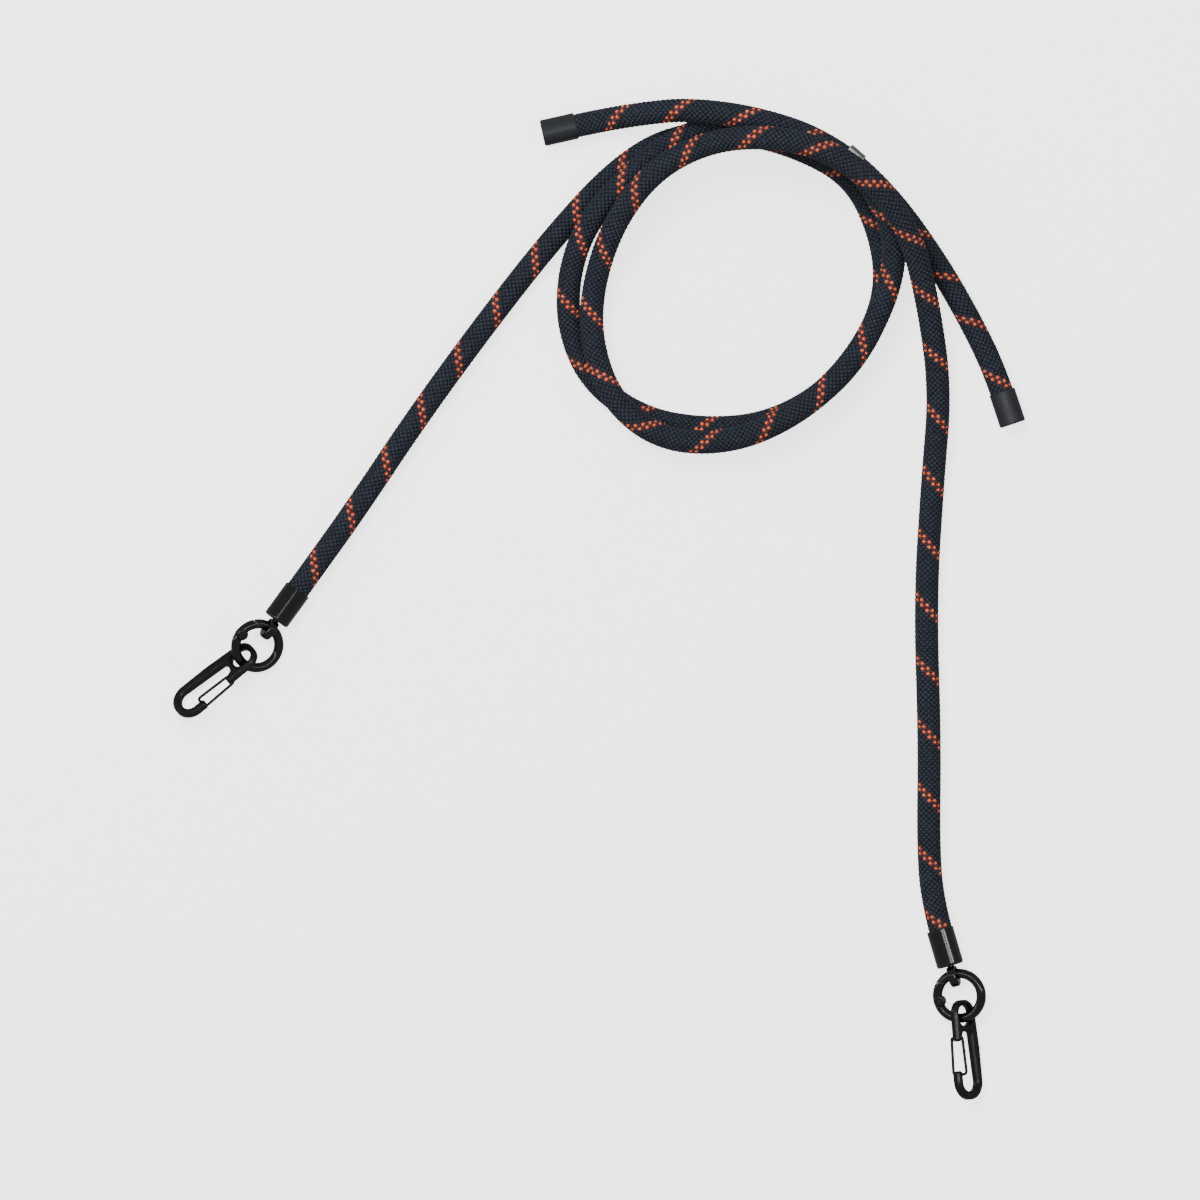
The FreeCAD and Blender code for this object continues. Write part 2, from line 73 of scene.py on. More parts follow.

# %% [markdown]
# ## The routes of the two cords
# A cord that lies free follows a smooth line. A physics simulation could drop it on the table,
# but it would never land in one wanted shape. So these control points say where each cord
# goes, from its ferrule to its cap: first straight out of the ferrule, then round the loop,
# over and under the other turns.

# %% Control points, in metres
CORD_A_ROUTE = [
    (0.1152, -0.1179, 0.0048),
    (0.1102, -0.1009, 0.0048),
    (0.1087, -0.0809, 0.0040),
    (0.1092, -0.0464, 0.0040),
    (0.1077, -0.0004, 0.0040),
    (0.1102, 0.0396, 0.0040),
    (0.1127, 0.0691, 0.0055),
    (0.1087, 0.0971, 0.0115),
    (0.1032, 0.1191, 0.0212),
    (0.0917, 0.1371, 0.0278),
    (0.0742, 0.1486, 0.0292),
    (0.0547, 0.1526, 0.0280),
    (0.0352, 0.1506, 0.0232),
    (0.0177, 0.1411, 0.0208),
    (0.0052, 0.1246, 0.0159),
    (-0.0018, 0.1046, 0.0083),
    (-0.0028, 0.0856, 0.0102),
    (0.0042, 0.0651, 0.0132),
    (0.0212, 0.0521, 0.0123),
    (0.0447, 0.0516, 0.0123),
    (0.0672, 0.0621, 0.0127),
    (0.0847, 0.0791, 0.0125),
    (0.0957, 0.1006, 0.0125),
    (0.0982, 0.1191, 0.0140),
    (0.0902, 0.1371, 0.0193),
    (0.0742, 0.1511, 0.0207),
    (0.0522, 0.1586, 0.0215),
    (0.0297, 0.1616, 0.0183),
    (0.0137, 0.1601, 0.0115),
    (-0.0018, 0.1576, 0.0045),
    (-0.0173, 0.1541, 0.0045),
]
CORD_B_ROUTE = [
    (-0.1048, -0.0044, 0.0045),
    (-0.0943, 0.0101, 0.0045),
    (-0.0803, 0.0296, 0.0040),
    (-0.0593, 0.0611, 0.0040),
    (-0.0358, 0.0931, 0.0040),
    (-0.0153, 0.1191, 0.0040),
    (0.0047, 0.1411, 0.0040),
    (0.0227, 0.1526, 0.0040),
    (0.0447, 0.1546, 0.0040),
    (0.0652, 0.1496, 0.0040),
    (0.0837, 0.1396, 0.0040),
    (0.0927, 0.1216, 0.0040),
    (0.0952, 0.1026, 0.0040),
    (0.0882, 0.0841, 0.0040),
    (0.0742, 0.0676, 0.0040),
    (0.0547, 0.0576, 0.0040),
    (0.0332, 0.0561, 0.0040),
    (0.0137, 0.0601, 0.0040),
    (-0.0023, 0.0716, 0.0040),
    (-0.0098, 0.0881, 0.0040),
    (-0.0103, 0.1056, 0.0056),
    (-0.0048, 0.1226, 0.0102),
    (0.0062, 0.1361, 0.0120),
    (0.0217, 0.1496, 0.0126),
    (0.0382, 0.1571, 0.0124),
    (0.0582, 0.1571, 0.0112),
    (0.0787, 0.1486, 0.0122),
    (0.0962, 0.1326, 0.0096),
    (0.1117, 0.1111, 0.0048),
    (0.1237, 0.0901, 0.0040),
    (0.1312, 0.0741, 0.0044),
    (0.1362, 0.0591, 0.0044),
]
print("control points", len(CORD_A_ROUTE), "and", len(CORD_B_ROUTE))

# %% [markdown]
# ## From a route to a centreline
# A polyline through the control points would show a kink at each of them, and a Bezier curve
# would need handles set at every point. A NURBS curve of order 3 flows past the points with
# no handles at all, bends evenly as a cord does, and still starts and ends on the first and
# last point. Blender turns it into a fine row of vertices that the braid can be laid along.

# %% Turn a route into points along its centreline
CURVE_ORDER = 3
STEPS_PER_CONTROL_POINT = 96


def centreline(points):
    """Positions in order along the smooth line of a route."""
    curve = bpy.data.curves.new("route", "CURVE")
    curve.dimensions = "3D"
    curve.resolution_u = STEPS_PER_CONTROL_POINT
    spline = curve.splines.new("NURBS")
    spline.points.add(len(points) - 1)
    for control, place in zip(spline.points, points):
        control.co = (*place, 1.0)
    spline.order_u = CURVE_ORDER
    spline.use_endpoint_u = True
    holder = bpy.data.objects.new("route", curve)
    mesh = bpy.data.meshes.new_from_object(holder)
    line = np.array([vertex.co for vertex in mesh.vertices])
    bpy.data.objects.remove(holder)
    bpy.data.meshes.remove(mesh)
    bpy.data.curves.remove(curve)
    return line


def distance_along(line):
    """How far along the line each of its points is."""
    steps = np.linalg.norm(np.diff(line, axis=0), axis=1)
    return np.concatenate([[0.0], np.cumsum(steps)])


line_a, line_b = centreline(CORD_A_ROUTE), centreline(CORD_B_ROUTE)
for name, line in (("A", line_a), ("B", line_b)):
    along = distance_along(line)
    print("cord", name, "length", round(along[-1] * METRE_IN_MM, 1), "mm",
          "longest step", round(np.diff(along).max() * METRE_IN_MM, 2), "mm")

# %% [markdown]
# ## The braid
# The sheath is braided from twenty-four yarns. Twelve wind to the left and twelve to the
# right, and each goes over one and under one. Twenty-four swept tubes would give the same look,
# but they would be heavy and would cut into each other. Seen from outside, every place where a
# yarn comes up is a small diamond-shaped cushion, so one surface of such cushions is enough.
# Two yarns that lie side by side are orange, and they make the stair of bright dots that winds
# round the cord.

# %% Sizes of the braid
CORD_DIAMETER = 0.008
YARNS_EACH_WAY = 12
BRAID_LEAD = 0.0209
CUSHION_HEIGHT = 0.0005
SIDE_FLATNESS, LENGTH_FLATNESS = 0.62, 0.36
FACES_ACROSS_YARN = 6
COLUMNS = YARNS_EACH_WAY * FACES_ACROSS_YARN
ORANGE_YARNS = (0, 1)


def cushion(across, along):
    """How far a yarn bulges: rounded from side to side, and flatter along its length."""
    side = np.cos(math.pi * across).clip(0.0) ** SIDE_FLATNESS
    lengthwise = np.cos(math.pi * along).clip(0.0) ** LENGTH_FLATNESS
    return side * lengthwise


yarn_spacing = math.pi * CORD_DIAMETER / YARNS_EACH_WAY
print("yarns that wind one way lie", round(yarn_spacing * METRE_IN_MM, 2), "mm apart round the cord")

# %% [markdown]
# ## A lattice that runs along the yarns
# A plain grid of squares could carry the braid as a height map, but its edges would cut across
# the yarns and leave teeth on every diamond. Here each second row is shifted by half a face, so
# the faces are diamonds too and their edges follow the yarns. Each cushion is then a block of
# small faces that bulges in the middle and dips to nothing where the yarn dives under.

# %% Yarns on the lattice
def yarn_places(row, column):
    """Where a lattice point is round the cord, and counted in left-hand and right-hand yarns."""
    shifted = column + 0.5 * (row % 2)
    left_yarn = (shifted + row / 2) / FACES_ACROSS_YARN
    right_yarn = (shifted - row / 2) / FACES_ACROSS_YARN
    return shifted, left_yarn, right_yarn


def crown_height(left_yarn, right_yarn):
    """The bulge at a place, from whichever yarn is on top there: 1 on a crest, 0 in a dip."""
    i, j = np.floor(left_yarn + 0.5), np.floor(right_yarn + 0.5)
    left_on_top = (i + j) % 2 == 0
    across = np.where(left_on_top, left_yarn - i, right_yarn - j)
    lengthwise = np.where(left_on_top, right_yarn - j, left_yarn - i)
    return cushion(across, lengthwise)


def lattice_point(row, column):
    """The number of a vertex. Columns close on themselves round the cord."""
    return row * COLUMNS + column % COLUMNS


crests = crown_height(np.array([0.0, 0.5]), np.array([0.0, 0.0]))
print("bulge on a crest and where the yarn dives", crests.round(2))

# %% [markdown]
# ## Frames that stay upright
# A tube needs an up and a right direction at every point of its centreline. Blender's own curve
# bevel can pick them by least twist, but then up drifts from bend to bend. Here up always leans
# to the sky, so that a twist given as a number of turns means the same all along the cord.

# %% Upright frames along a cord
SKY = (0.0, 0.0, 1.0)


def upright_frames(line, places):
    """Centre, up and right directions at the given distances along the line."""
    along = distance_along(line)
    centre = np.stack([np.interp(places, along, line[:, k]) for k in range(3)], axis=1)
    ahead = np.gradient(centre, places, axis=0)
    ahead /= np.linalg.norm(ahead, axis=1, keepdims=True)
    right = np.cross(ahead, SKY)
    right /= np.linalg.norm(right, axis=1, keepdims=True)
    up = np.cross(right, ahead)
    return centre, up, right


for name, line in (("A", line_a), ("B", line_b)):
    _, up, _ = upright_frames(line, np.linspace(0.0, distance_along(line)[-1], len(line)))
    print("cord", name, "slopes at most", round(math.degrees(math.acos(up[:, 2].min())), 1), "degrees")

# %% [markdown]
# ## The braided surface
# With the lattice and the frames, a cord is one mesh: points on a circle round the centreline,
# pushed in wherever the crown is low. A modifier could bend a straight braid along a curve, but
# it stretches the diamonds on the outside of every bend. Placing each point by arithmetic keeps
# them even. The height of the crown is stored in the mesh, so that a material can paint shade
# into the dips.

# %% Points of a braid
def braid_points(line, twist, rows):
    """Every vertex of the braided tube, and how high its yarn is there."""
    places = np.linspace(0.0, distance_along(line)[-1], rows + 1)
    centre, up, right = upright_frames(line, places)
    row, column = np.meshgrid(np.arange(rows + 1), np.arange(COLUMNS), indexing="ij")
    shifted, left_yarn, right_yarn = yarn_places(row, column)
    crown = crown_height(left_yarn, right_yarn)
    turn = np.interp(places, *zip(*twist))
    angle = 2 * math.pi * (shifted / COLUMNS + turn[:, None])
    radius = CORD_DIAMETER / 2 - CUSHION_HEIGHT * (1 - crown)
    points = centre[:, None, :] + radius[..., None] * (
        np.cos(angle)[..., None] * up[:, None, :] + np.sin(angle)[..., None] * right[:, None, :])
    return points, crown


NO_TWIST = ((0.0, 0.0), (1.0, 0.0))
test_points, _ = braid_points(line_a, NO_TWIST, 8)
print("a braid of 8 rows has points", test_points.shape[0], "x", test_points.shape[1])

# %% Faces of a braid
def braid_faces(row, column):
    """The diamond that starts at each lattice point."""
    odd = row % 2
    return np.stack([
        lattice_point(row, column), lattice_point(row + 1, column + odd),
        lattice_point(row + 2, column), lattice_point(row + 1, column + odd - 1)], axis=-1)


def end_faces(rows):
    """Triangles that fill the half rows at both ends, and one flat face over each end."""
    ring = np.arange(COLUMNS)
    first = [lattice_point(0, ring), lattice_point(0, ring + 1), lattice_point(1, ring)]
    last = [lattice_point(rows, ring + 1), lattice_point(rows, ring), lattice_point(rows - 1, ring)]
    triangles = np.stack(first, axis=-1).tolist() + np.stack(last, axis=-1).tolist()
    return triangles + [lattice_point(0, ring[::-1]).tolist(), lattice_point(rows, ring).tolist()]


print("faces that close both ends", len(end_faces(8)))

# %% Which yarn each face belongs to
NAVY_LEFT, NAVY_RIGHT, ORANGE_LEFT, NAVY_OVER_ORANGE = range(4)


def yarn_corners(row, column):
    """The corners of every diamond, counted in left-hand and right-hand yarns."""
    step = 1 / FACES_ACROSS_YARN
    _, left, right = yarn_places(row, column)
    return (np.stack([left, left + step, left + step, left], axis=-1),
            np.stack([right, right, right - step, right - step], axis=-1))


def yarn_finish_numbers(row, column):
    """Which finish each diamond gets, from the yarn on top and the yarn that crosses it."""
    half_step = 0.5 / FACES_ACROSS_YARN
    _, left, right = yarn_places(row, column)
    i, j = np.floor(left + half_step + 0.5), np.floor(right - half_step + 0.5)
    at_orange = np.isin(i % YARNS_EACH_WAY, ORANGE_YARNS)
    left_on_top = (i + j) % 2 == 0
    return np.where(
        left_on_top, np.where(at_orange, ORANGE_LEFT, NAVY_LEFT),
        np.where(at_orange, NAVY_OVER_ORANGE, NAVY_RIGHT))


first_row = yarn_finish_numbers(np.zeros(COLUMNS, int), np.arange(COLUMNS))
print("orange faces in the first row", int((first_row == ORANGE_LEFT).sum()), "of", COLUMNS)

# %% Build one braided cord
def braided_cord(name, line, twist):
    """A closed braided tube along the line. twist holds (distance, turns) pairs."""
    row_spacing = BRAID_LEAD / (COLUMNS * 2)
    rows = 2 * round(distance_along(line)[-1] / row_spacing / 2)
    points, crown = braid_points(line, twist, rows)
    row, column = np.meshgrid(np.arange(rows - 1), np.arange(COLUMNS), indexing="ij")
    quads = braid_faces(row, column)

    mesh = bpy.data.meshes.new(name)
    mesh.from_pydata(points.reshape(-1, 3).tolist(), [], quads.reshape(-1, 4).tolist() + end_faces(rows))
    in_yarns = np.zeros((len(mesh.loops), 2), np.float32)
    for axis, corners in enumerate(yarn_corners(row, column)):
        in_yarns[:corners.size, axis] = corners.reshape(-1)
    mesh.uv_layers.new(name="braid").uv.foreach_set("vector", in_yarns.reshape(-1))
    height = mesh.attributes.new("crown", "FLOAT", "POINT")
    height.data.foreach_set("value", crown.reshape(-1).astype(np.float32))
    finishes = np.zeros(len(mesh.polygons), np.int32)
    numbers = yarn_finish_numbers(row, column)
    finishes[:numbers.size] = numbers.reshape(-1)
    mesh.polygons.foreach_set("material_index", finishes)
    mesh.shade_smooth()
    mesh.update()

    cord = bpy.data.objects.new(name, mesh)
    bpy.context.scene.collection.objects.link(cord)
    print(name, "rows", rows, "faces", len(mesh.polygons))
    return cord


# %% [markdown]
# ## Twist
# Nobody lays a cord in a loop without also turning it a little about itself, and the orange
# pair shows every bit of that turn: its slanted marks stand closer together on one stretch
# than on the next. One even twist would be simpler, but the marks would then be spaced like
# print. So each cord gets a short list of places along it, and of how many turns it has been
# twisted there.

# %% Lay both cords into the frame
CORD_A_TWIST = [
    (0.0, 0.505), (0.20, 0.505), (0.30, 0.66), (0.40, 0.96),
    (0.52, 1.04), (0.57, 1.18), (0.608, 1.05), (0.675, 1.18), (0.70, 1.08)]
CORD_B_TWIST = [
    (0.0, 0.86), (0.19, 0.80), (0.26, 0.56), (0.37, 0.50), (0.45, 0.72),
    (0.523, 0.96), (0.60, 1.45), (0.62, 1.45), (0.652, 1.13), (0.69, 1.17)]

cord_a = braided_cord("cord_a", line_a, CORD_A_TWIST)
cord_b = braided_cord("cord_b", line_b, CORD_B_TWIST)
for cord, letter in ((cord_a, "a"), (cord_b, "b")):
    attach(cord, "cords")
    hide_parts(f"strap_{letter}_rope_sheath", f"strap_{letter}_rope_core")

# %% [markdown]
# ## A small kit for materials
# Every finish below is a Principled surface with a few nodes for the detail that the real one
# shows. Building such a tree by hand in the editor works once, but it can't be read or changed
# in a script. These helpers make the nodes and join them, so each material reads as a recipe.

# %% Material helpers
def new_finish(name):
    """A material with only a Principled surface, and short ways to add nodes to it."""
    material = bpy.data.materials.new(name)
    material.use_nodes = True
    nodes, links = material.node_tree.nodes, material.node_tree.links
    nodes.clear()
    surface = nodes.new("ShaderNodeBsdfPrincipled")
    output = nodes.new("ShaderNodeOutputMaterial")
    links.new(surface.outputs["BSDF"], output.inputs["Surface"])
    print("finish", name)
    return material, nodes, links, surface


def set_inputs(node, **values):
    for key, value in values.items():
        node.inputs[key.replace("_", " ")].default_value = value


def noise(nodes, links, vector, scale, detail=3.0, roughness=0.55):
    node = nodes.new("ShaderNodeTexNoise")
    set_inputs(node, Scale=scale, Detail=detail, Roughness=roughness)
    links.new(vector, node.inputs["Vector"])
    return node.outputs["Fac"]


def stretched(nodes, links, vector, scale, turned=(0.0, 0.0, 0.0)):
    """The same coordinates, drawn out or squeezed, so that a noise becomes threads or lines."""
    node = nodes.new("ShaderNodeMapping")
    set_inputs(node, Scale=scale, Rotation=turned)
    links.new(vector, node.inputs["Vector"])
    return node.outputs["Vector"]


def remap(nodes, links, value, low, high, to_low, to_high):
    node = nodes.new("ShaderNodeMapRange")
    set_inputs(node, From_Min=low, From_Max=high, To_Min=to_low, To_Max=to_high)
    links.new(value, node.inputs["Value"])
    return node.outputs["Result"]


def blend_colours(nodes, links, factor, first, second):
    """A colour between two others. Either can be a fixed colour or another node's output."""
    node = nodes.new("ShaderNodeMix")
    node.data_type = "RGBA"
    links.new(factor, node.inputs["Factor"])
    for socket, colour in ((node.inputs["A"], first), (node.inputs["B"], second)):
        if isinstance(colour, tuple):
            socket.default_value = (*colour, 1.0)
        else:
            links.new(colour, socket)
    return node.outputs["Result"]


def bump(nodes, links, height, strength, distance):
    node = nodes.new("ShaderNodeBump")
    set_inputs(node, Strength=strength, Distance=distance)
    links.new(height, node.inputs["Height"])
    return node.outputs["Normal"]


# %% [markdown]
# ## Yarn
# Each yarn is a flat bundle of fine shiny filaments. Modelling the filaments would take
# millions of faces, so they are drawn as hair-thin lines along the yarn: a noise is stretched
# in that direction, and its paler lines are painted sheen. The yarns that wind left and right
# need the stretch in different directions, hence one material for each. The dips between the
# cushions are darker with painted shade, and where a navy yarn crosses an orange one, the orange
# yarn beneath shows dark red in that painted shade.

# %% Yarn finishes
FILAMENTS_PER_YARN = 9.0
FILAMENT_LENGTH = 0.7
PATCH_SCALE = 0.21
CREST_ENDS = 0.97
FILAMENT_BUMP, FILAMENT_DEPTH = 0.55, 0.00012
# Each of these says from which range of a noise to which range of an effect.
# The first of them lays painted sheen on the filaments.
LIT_FILAMENTS = (0.48, 0.72, 0.0, 0.55)
WORN_PATCHES = (0.35, 0.75, 0.0, 0.25)
YARN_ROUGHNESS = (0.3, 0.7, 0.62, 0.42)


def yarn_finish(name, winds_left, colours, crest_starts):
    """Filament lines in painted sheen along the yarn, from painted shade in the dips to a crest colour
    on top.
    """
    dip_shade, crest, sheen_colour = colours
    material, nodes, links, surface = new_finish(name)
    place = nodes.new("ShaderNodeUVMap")
    place.uv_map = "braid"
    across, along = FILAMENTS_PER_YARN, FILAMENT_LENGTH
    scale = (across, along, 1.0) if winds_left else (along, across, 1.0)
    drawn_out = stretched(nodes, links, place.outputs["UV"], scale)
    filaments = noise(nodes, links, drawn_out, 1.0, 2.0, 0.6)
    patches = noise(nodes, links, place.outputs["UV"], PATCH_SCALE, 2.0)

    # Painted shade: the colour darkens from the crest colour towards the dips.
    crown = nodes.new("ShaderNodeAttribute")
    crown.attribute_name = "crown"
    raised = remap(nodes, links, crown.outputs["Fac"], crest_starts, CREST_ENDS, 0.0, 1.0)
    body = blend_colours(nodes, links, raised, dip_shade, crest)
    # Painted sheen: paler lines where shiny filaments would catch the light.
    lit = remap(nodes, links, filaments, *LIT_FILAMENTS)
    lined = blend_colours(nodes, links, lit, body, sheen_colour)
    worn = remap(nodes, links, patches, *WORN_PATCHES)
    links.new(blend_colours(nodes, links, worn, lined, dip_shade), surface.inputs["Base Color"])
    links.new(remap(nodes, links, filaments, *YARN_ROUGHNESS), surface.inputs["Roughness"])
    set_inputs(surface, Sheen_Weight=0.06, Sheen_Roughness=0.4, Specular_IOR_Level=0.3)
    links.new(bump(nodes, links, filaments, FILAMENT_BUMP, FILAMENT_DEPTH), surface.inputs["Normal"])
    return material


# Each finish holds its painted shade for the dips, its crest colour and its painted sheen.
NAVY_CREST, NAVY_SHEEN = (0.026, 0.033, 0.052), (0.070, 0.085, 0.120)
NAVY = ((0.0014, 0.0019, 0.0034), NAVY_CREST, NAVY_SHEEN)
ORANGE = ((0.22, 0.010, 0.003), (1.0, 0.20, 0.065), (1.0, 0.52, 0.34))
NAVY_WITH_RED_DIPS = ((0.040, 0.005, 0.004), NAVY_CREST, NAVY_SHEEN)

navy_left = yarn_finish("navy_yarn_left", True, NAVY, 0.35)
navy_right = yarn_finish("navy_yarn_right", False, NAVY, 0.35)
orange_left = yarn_finish("orange_yarn", True, ORANGE, 0.5)
navy_over_orange = yarn_finish("navy_over_orange", False, NAVY_WITH_RED_DIPS, 0.40)
for cord in (cord_a, cord_b):
    for finish in (navy_left, navy_right, orange_left, navy_over_orange):
        cord.data.materials.append(finish)

# %% [markdown]
# ## The side tab
# A short woven tape is folded in half and sewn to the outer side of the upper cord. It could
# be a bent plane with a thickness added by a modifier, but the two leaves nearly touch and
# their edges show. So it is made as one U-shaped outline that is pushed along the cord in many
# thin slices. The outer face swells and sinks from slice to slice, which gives the ribs that a
# woven tape shows on its fold. The tape carries no marks.

# %% Outline and seat of the tab
TAB_RUN = 24
TAB_LENGTH, TAB_WIDTH, TAB_LEAF, TAB_GAP = 0.0060, 0.0031, 0.00035, 0.00025
TAB_SEAT, TAB_DROOP = math.radians(60), math.radians(10)
TAB_SINK = 0.0003
TAB_CLEARANCE = 0.00005
TAB_RIBS, SLICES_PER_RIB, RIB_HEIGHT = 16, 4, 0.00003
LEAF_POINTS, FOLD_STEPS = 7, 8
SLICES = TAB_RIBS * SLICES_PER_RIB + 1


def tab_outline():
    """Outer and inner side of the folded tape, as (outward, up) pairs with equal counts."""
    middle = TAB_LEAF + TAB_GAP / 2
    bend = TAB_WIDTH - middle
    sides = []
    for radius in (middle, TAB_GAP / 2):
        lower = [(x, middle - radius) for x in np.linspace(-TAB_SINK, bend, LEAF_POINTS)]
        upper = [(x, middle + radius) for x in np.linspace(bend, -TAB_SINK, LEAF_POINTS)]
        turns = np.linspace(-math.pi / 2, math.pi / 2, FOLD_STEPS + 1)[1:-1]
        fold = [(bend + radius * math.cos(a), middle + radius * math.sin(a)) for a in turns]
        sides.append(lower + fold + upper)
    return np.array(sides)


def tab_seat():
    """Where the tab is sewn on, and its directions along the cord, outward and up."""
    before, after = Vector(CORD_A_ROUTE[TAB_RUN]), Vector(CORD_A_ROUTE[TAB_RUN + 1])
    along = (after - before).normalized()
    outward = Vector(SKY).cross(along).normalized()
    if outward.x + outward.y < 0:
        outward.negate()
    up = outward.cross(along)
    if up.z < 0:
        up.negate()
    seat = outward * math.cos(TAB_SEAT) + up * math.sin(TAB_SEAT)
    root = (before + after) / 2 + seat * (CORD_DIAMETER / 2 + TAB_CLEARANCE)
    leaf = outward * math.cos(TAB_DROOP) - up * math.sin(TAB_DROOP)
    normal = up * math.cos(TAB_DROOP) + outward * math.sin(TAB_DROOP)
    return root, along, leaf, normal


print("tab slices", SLICES, "points on each side of a slice", tab_outline().shape[1])

# %% Build the folded tab
def tab_vertices(root, along, leaf, normal):
    """Points of every slice, outer side first, each with its place across and along the tape."""
    outer, inner = tab_outline()
    points, uvs = [], []
    for k in range(SLICES):
        rib = RIB_HEIGHT * abs(math.sin(math.pi * k / SLICES_PER_RIB))
        offset = along * (TAB_LENGTH * (k / (SLICES - 1) - 0.5))
        for side, swell in ((outer, rib), (inner, 0.0)):
            middle = side[:, 1].mean()
            for n, (x, z) in enumerate(side):
                z += swell * (1 if z > middle else -1)
                points.append(root + leaf * x + normal * z + offset)
                uvs.append((n / (len(side) - 1), k / (SLICES - 1)))
    return points, uvs


def tab_faces(count):
    """Outer and inner skin, the two sewn rims, and the caps over both cut ends."""
    faces = []
    for k in range(SLICES - 1):
        here, there = 2 * count * k, 2 * count * (k + 1)
        inner_here, inner_there = here + count, there + count
        for n in range(count - 1):
            faces.append((here + n, here + n + 1, there + n + 1, there + n))
            faces.append((inner_here + n + 1, inner_here + n, inner_there + n, inner_there + n + 1))
        for n in (0, count - 1):
            rim = (here + n, there + n, inner_there + n, inner_here + n)
            faces.append(rim if n == 0 else rim[::-1])
    for base, flip in ((0, False), (2 * count * (SLICES - 1), True)):
        for n in range(count - 1):
            cap = (base + n, base + count + n, base + count + n + 1, base + n + 1)
            faces.append(cap[::-1] if flip else cap)
    return faces


def folded_tab(name):
    """The folded tape as one closed mesh, seated on the upper cord."""
    points, uvs = tab_vertices(*tab_seat())
    faces = tab_faces(tab_outline().shape[1])
    mesh = bpy.data.meshes.new(name)
    mesh.from_pydata(points, [], faces)
    layer = mesh.uv_layers.new(name="tape")
    for loop in mesh.loops:
        layer.uv[loop.index].vector = uvs[loop.vertex_index]
    mesh.update()
    tab = bpy.data.objects.new(name, mesh)
    bpy.context.scene.collection.objects.link(tab)
    print(name, "faces", len(faces))
    return tab


side_tab = folded_tab("side_tab")
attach(side_tab, "cords")
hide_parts("strap_a_side_tab")

# %% [markdown]
# ## Woven tape
# The tab is cut from a satin tape. The leaf on top looks pale grey, and the fold and the leaf
# below are painted darker grey, as painted shade. A woven pattern could be modelled thread by
# thread, but at six millimetres nobody would see it. A noise squeezed across the tape gives the
# same fine grain.

# %% Woven tape finish
TAPE_THREADS = (60.0, 220.0, 1.0)
PALE_LEAF_STARTS, PALE_LEAF_FULL = 0.77, 0.81
SATIN = ((0.30, 0.30, 0.34), (0.62, 0.62, 0.68))
# Painted shade: darker greys for the fold and the lower leaf.
PAINTED_SHADE_GREYS = ((0.03, 0.03, 0.03), (0.12, 0.12, 0.115))
THREAD_BUMP, THREAD_DEPTH = 0.5, 0.00005


def tape_finish():
    """Pale satin on the top leaf, darker grey of painted shade on the fold and below, and fine cross
    threads.
    """
    material, nodes, links, surface = new_finish("woven_tape")
    place = nodes.new("ShaderNodeUVMap")
    place.uv_map = "tape"
    split = nodes.new("ShaderNodeSeparateXYZ")
    links.new(place.outputs["UV"], split.inputs["Vector"])
    # Painted shade covers the lower leaf and the fold, up to the pale top leaf.
    painted_shade_mask = remap(nodes, links, split.outputs["X"], PALE_LEAF_STARTS, PALE_LEAF_FULL, 1.0, 0.0)
    grain = noise(nodes, links, stretched(nodes, links, place.outputs["UV"], TAPE_THREADS), 1.0, 2.0)
    flat = blend_colours(nodes, links, grain, *SATIN)
    shaded_grey = blend_colours(nodes, links, grain, *PAINTED_SHADE_GREYS)
    links.new(blend_colours(nodes, links, painted_shade_mask, flat, shaded_grey), surface.inputs["Base Color"])
    set_inputs(surface, Roughness=0.7, Sheen_Weight=0.1, Specular_IOR_Level=0.3)
    links.new(bump(nodes, links, grain, THREAD_BUMP, THREAD_DEPTH), surface.inputs["Normal"])
    return material


side_tab.data.materials.append(tape_finish())

# %% [markdown]
# ## Metal finishes
# The ferrules, swivels and rings are polished and plated black: nearly mirror-smooth, with
# faint rub marks. The hooks and their wires are softer, and the end caps are satin. One flat
# black would look like plastic. So a cloudy noise changes the polish and the colour from place
# to place, and a squeezed noise adds very shallow scratches. The six finishes share one recipe
# and differ only in their numbers.

# %% Plated metal
CLOUD_SCALE = 420.0
SCRATCH_SCALE, SCRATCH_TURN = (6000.0, 700.0, 2600.0), (0.3, 0.5, 0.9)
SCRATCH_STRENGTH, SCRATCH_DEPTH = 0.006, 0.00002
RUBBED_PLACES = (0.55, 0.75, 0.0, 0.5)
CLOUD_RANGE = (0.3, 0.7)
COAT_ROUGHNESS = 0.08


def plated_metal(name, colour, worn_colour, roughness, metallic, coat):
    """Dark plating with cloudy polish, fine scratches and paler, rubbed places."""
    material, nodes, links, surface = new_finish(name)
    here = nodes.new("ShaderNodeTexCoord").outputs["Object"]
    cloud = noise(nodes, links, here, CLOUD_SCALE, 4.0)
    squeezed = stretched(nodes, links, here, SCRATCH_SCALE, SCRATCH_TURN)
    scratches = noise(nodes, links, squeezed, 1.0, 3.0, 0.7)
    rubbed = remap(nodes, links, cloud, *RUBBED_PLACES)
    tint = blend_colours(nodes, links, rubbed, colour, worn_colour)
    links.new(tint, surface.inputs["Base Color"])
    polish = remap(nodes, links, cloud, *CLOUD_RANGE, *roughness)
    links.new(polish, surface.inputs["Roughness"])
    set_inputs(surface, Metallic=metallic, Coat_Weight=coat, Coat_Roughness=COAT_ROUGHNESS)
    relief = bump(nodes, links, scratches, SCRATCH_STRENGTH, SCRATCH_DEPTH)
    links.new(relief, surface.inputs["Normal"])
    return material


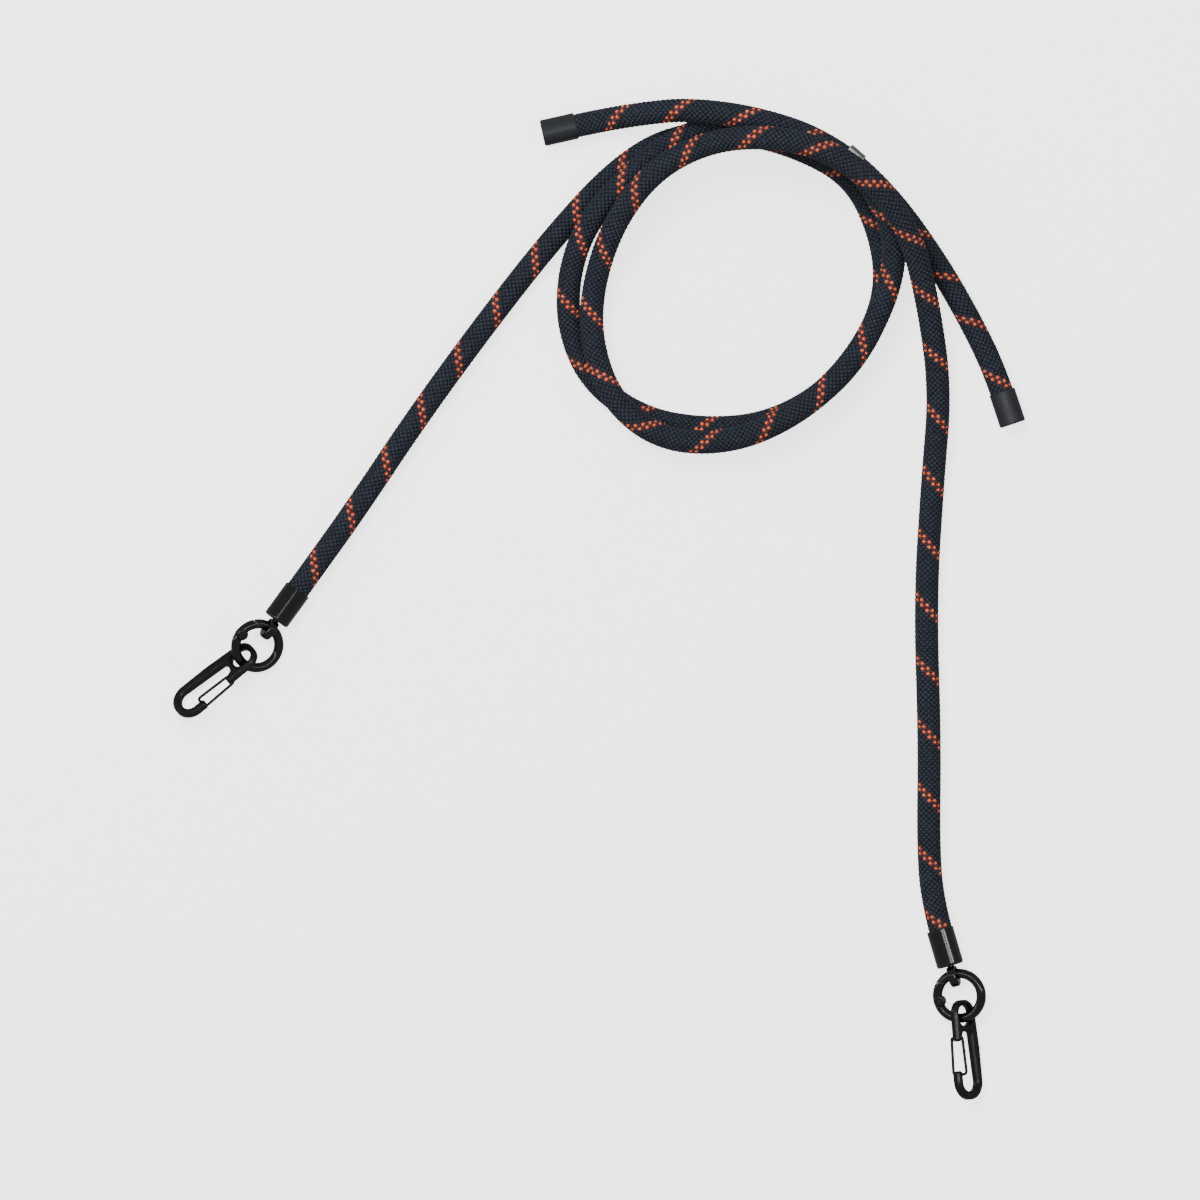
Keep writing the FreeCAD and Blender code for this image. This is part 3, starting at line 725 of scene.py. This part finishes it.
black_plate = plated_metal(
    "black_plate", (0.003, 0.003, 0.0035), (0.008, 0.008, 0.009),
    roughness=(0.08, 0.13), metallic=0.2, coat=0.6)
ring_plate = plated_metal(
    "ring_plate", (0.004, 0.004, 0.0045), (0.010, 0.010, 0.011),
    roughness=(0.10, 0.18), metallic=0.3, coat=0.5)
hook_plate = plated_metal(
    "hook_plate", (0.006, 0.006, 0.0066), (0.013, 0.013, 0.014),
    roughness=(0.26, 0.36), metallic=0.3, coat=0.1)
cap_satin = plated_metal(
    "cap_satin", (0.026, 0.028, 0.033), (0.040, 0.042, 0.048),
    roughness=(0.34, 0.46), metallic=0.3, coat=0.0)
bare_steel = plated_metal(
    "bare_steel", (0.05, 0.05, 0.052), (0.10, 0.10, 0.104),
    roughness=(0.22, 0.36), metallic=1.0, coat=0.0)
wire_plate = plated_metal(
    "wire_plate", (0.004, 0.004, 0.0045), (0.010, 0.010, 0.011),
    roughness=(0.42, 0.55), metallic=0.1, coat=0.0)

# %% Put the finishes on the metal pieces
FINISH_OF = {
    "ferrule": black_plate, "swivel_eye": black_plate,
    "ring_body": ring_plate, "ring_gate": ring_plate,
    "ring_gate_pin": bare_steel, "ring_gate_spring": bare_steel,
    "hook_body": hook_plate, "hook_wire_gate": wire_plate, "end_cap": cap_satin,
}
for letter in "ab":
    for piece, finish in FINISH_OF.items():
        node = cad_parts[f"strap_{letter}_{piece}"]
        node.data.materials.clear()
        node.data.materials.append(finish)
print("metal pieces finished", 2 * len(FINISH_OF))

# %% [markdown]
# ## The table
# Small dark goods are shown on a bright white table. A strong lamp could make a plain table
# white, but it would also burn out the orange. So the table glows by itself. It is
# hidden from the bounced light, as if black card stood round the straps: otherwise its
# brightness would creep up the sides of the cord and turn the black metal grey.

# %% Table
TABLE_HALF_WIDTH = 3.0
TABLE_GLOW = 2.4
TABLE_CORNERS = ((-1, -1), (1, -1), (1, 1), (-1, 1))

table_mesh = bpy.data.meshes.new("table")
table_mesh.from_pydata(
    [(x * TABLE_HALF_WIDTH, y * TABLE_HALF_WIDTH, 0.0) for x, y in TABLE_CORNERS],
    [], [(0, 1, 2, 3)])
table = bpy.data.objects.new("table", table_mesh)
bpy.context.scene.collection.objects.link(table)
table.visible_diffuse = False
table.visible_glossy = False
white_top, _, _, top_surface = new_finish("white_table")
set_inputs(top_surface, Base_Color=(0.86, 0.86, 0.86, 1.0), Roughness=0.9, Specular_IOR_Level=0.1)
set_inputs(top_surface, Emission_Color=(1.0, 1.0, 1.0, 1.0), Emission_Strength=TABLE_GLOW)
table_mesh.materials.append(white_top)

# %% [markdown]
# ## The lights
# One sun would give hard shadows and a single small glint. A broad soft box gives the cord its
# round shape instead. It is left out of the reflections, where it would cover the polished
# metal in grey. Three thin strips are mirrored there, and draw the sharp lines along the metal.

# %% Lights
LIGHT_AIM = Vector((0.0, 0.03, 0.0))
ROOM_LIGHT = 0.3


def soft_light(name, place, size, power, in_gloss):
    """An area light that looks at the straps. in_gloss says if shiny metal mirrors it."""
    data = bpy.data.lights.new(name, "AREA")
    data.shape = "RECTANGLE"
    data.size, data.size_y = size
    data.energy = power
    lamp = bpy.data.objects.new(name, data)
    lamp.location = place
    aim = LIGHT_AIM - Vector(place)
    lamp.rotation_euler = aim.to_track_quat("-Z", "Y").to_euler()
    lamp.visible_glossy = in_gloss
    bpy.context.scene.collection.objects.link(lamp)
    print("light", name, power, "W")


soft_light("soft_box", (-0.5, 0.9, 1.7), (1.0, 1.0), 40.0, False)
soft_light("near_strip", (0.34, 0.05, 1.5), (0.05, 2.2), 4.5, True)
soft_light("second_strip", (-0.16, 0.05, 1.6), (0.04, 2.2), 4.0, True)
soft_light("low_strip", (-1.1, 0.2, 0.6), (0.08, 1.6), 2.0, True)

world = bpy.data.worlds.new("room")
bpy.context.scene.world = world
world.use_nodes = True
set_inputs(world.node_tree.nodes["Background"], Color=(1.0, 1.0, 1.0, 1.0), Strength=ROOM_LIGHT)
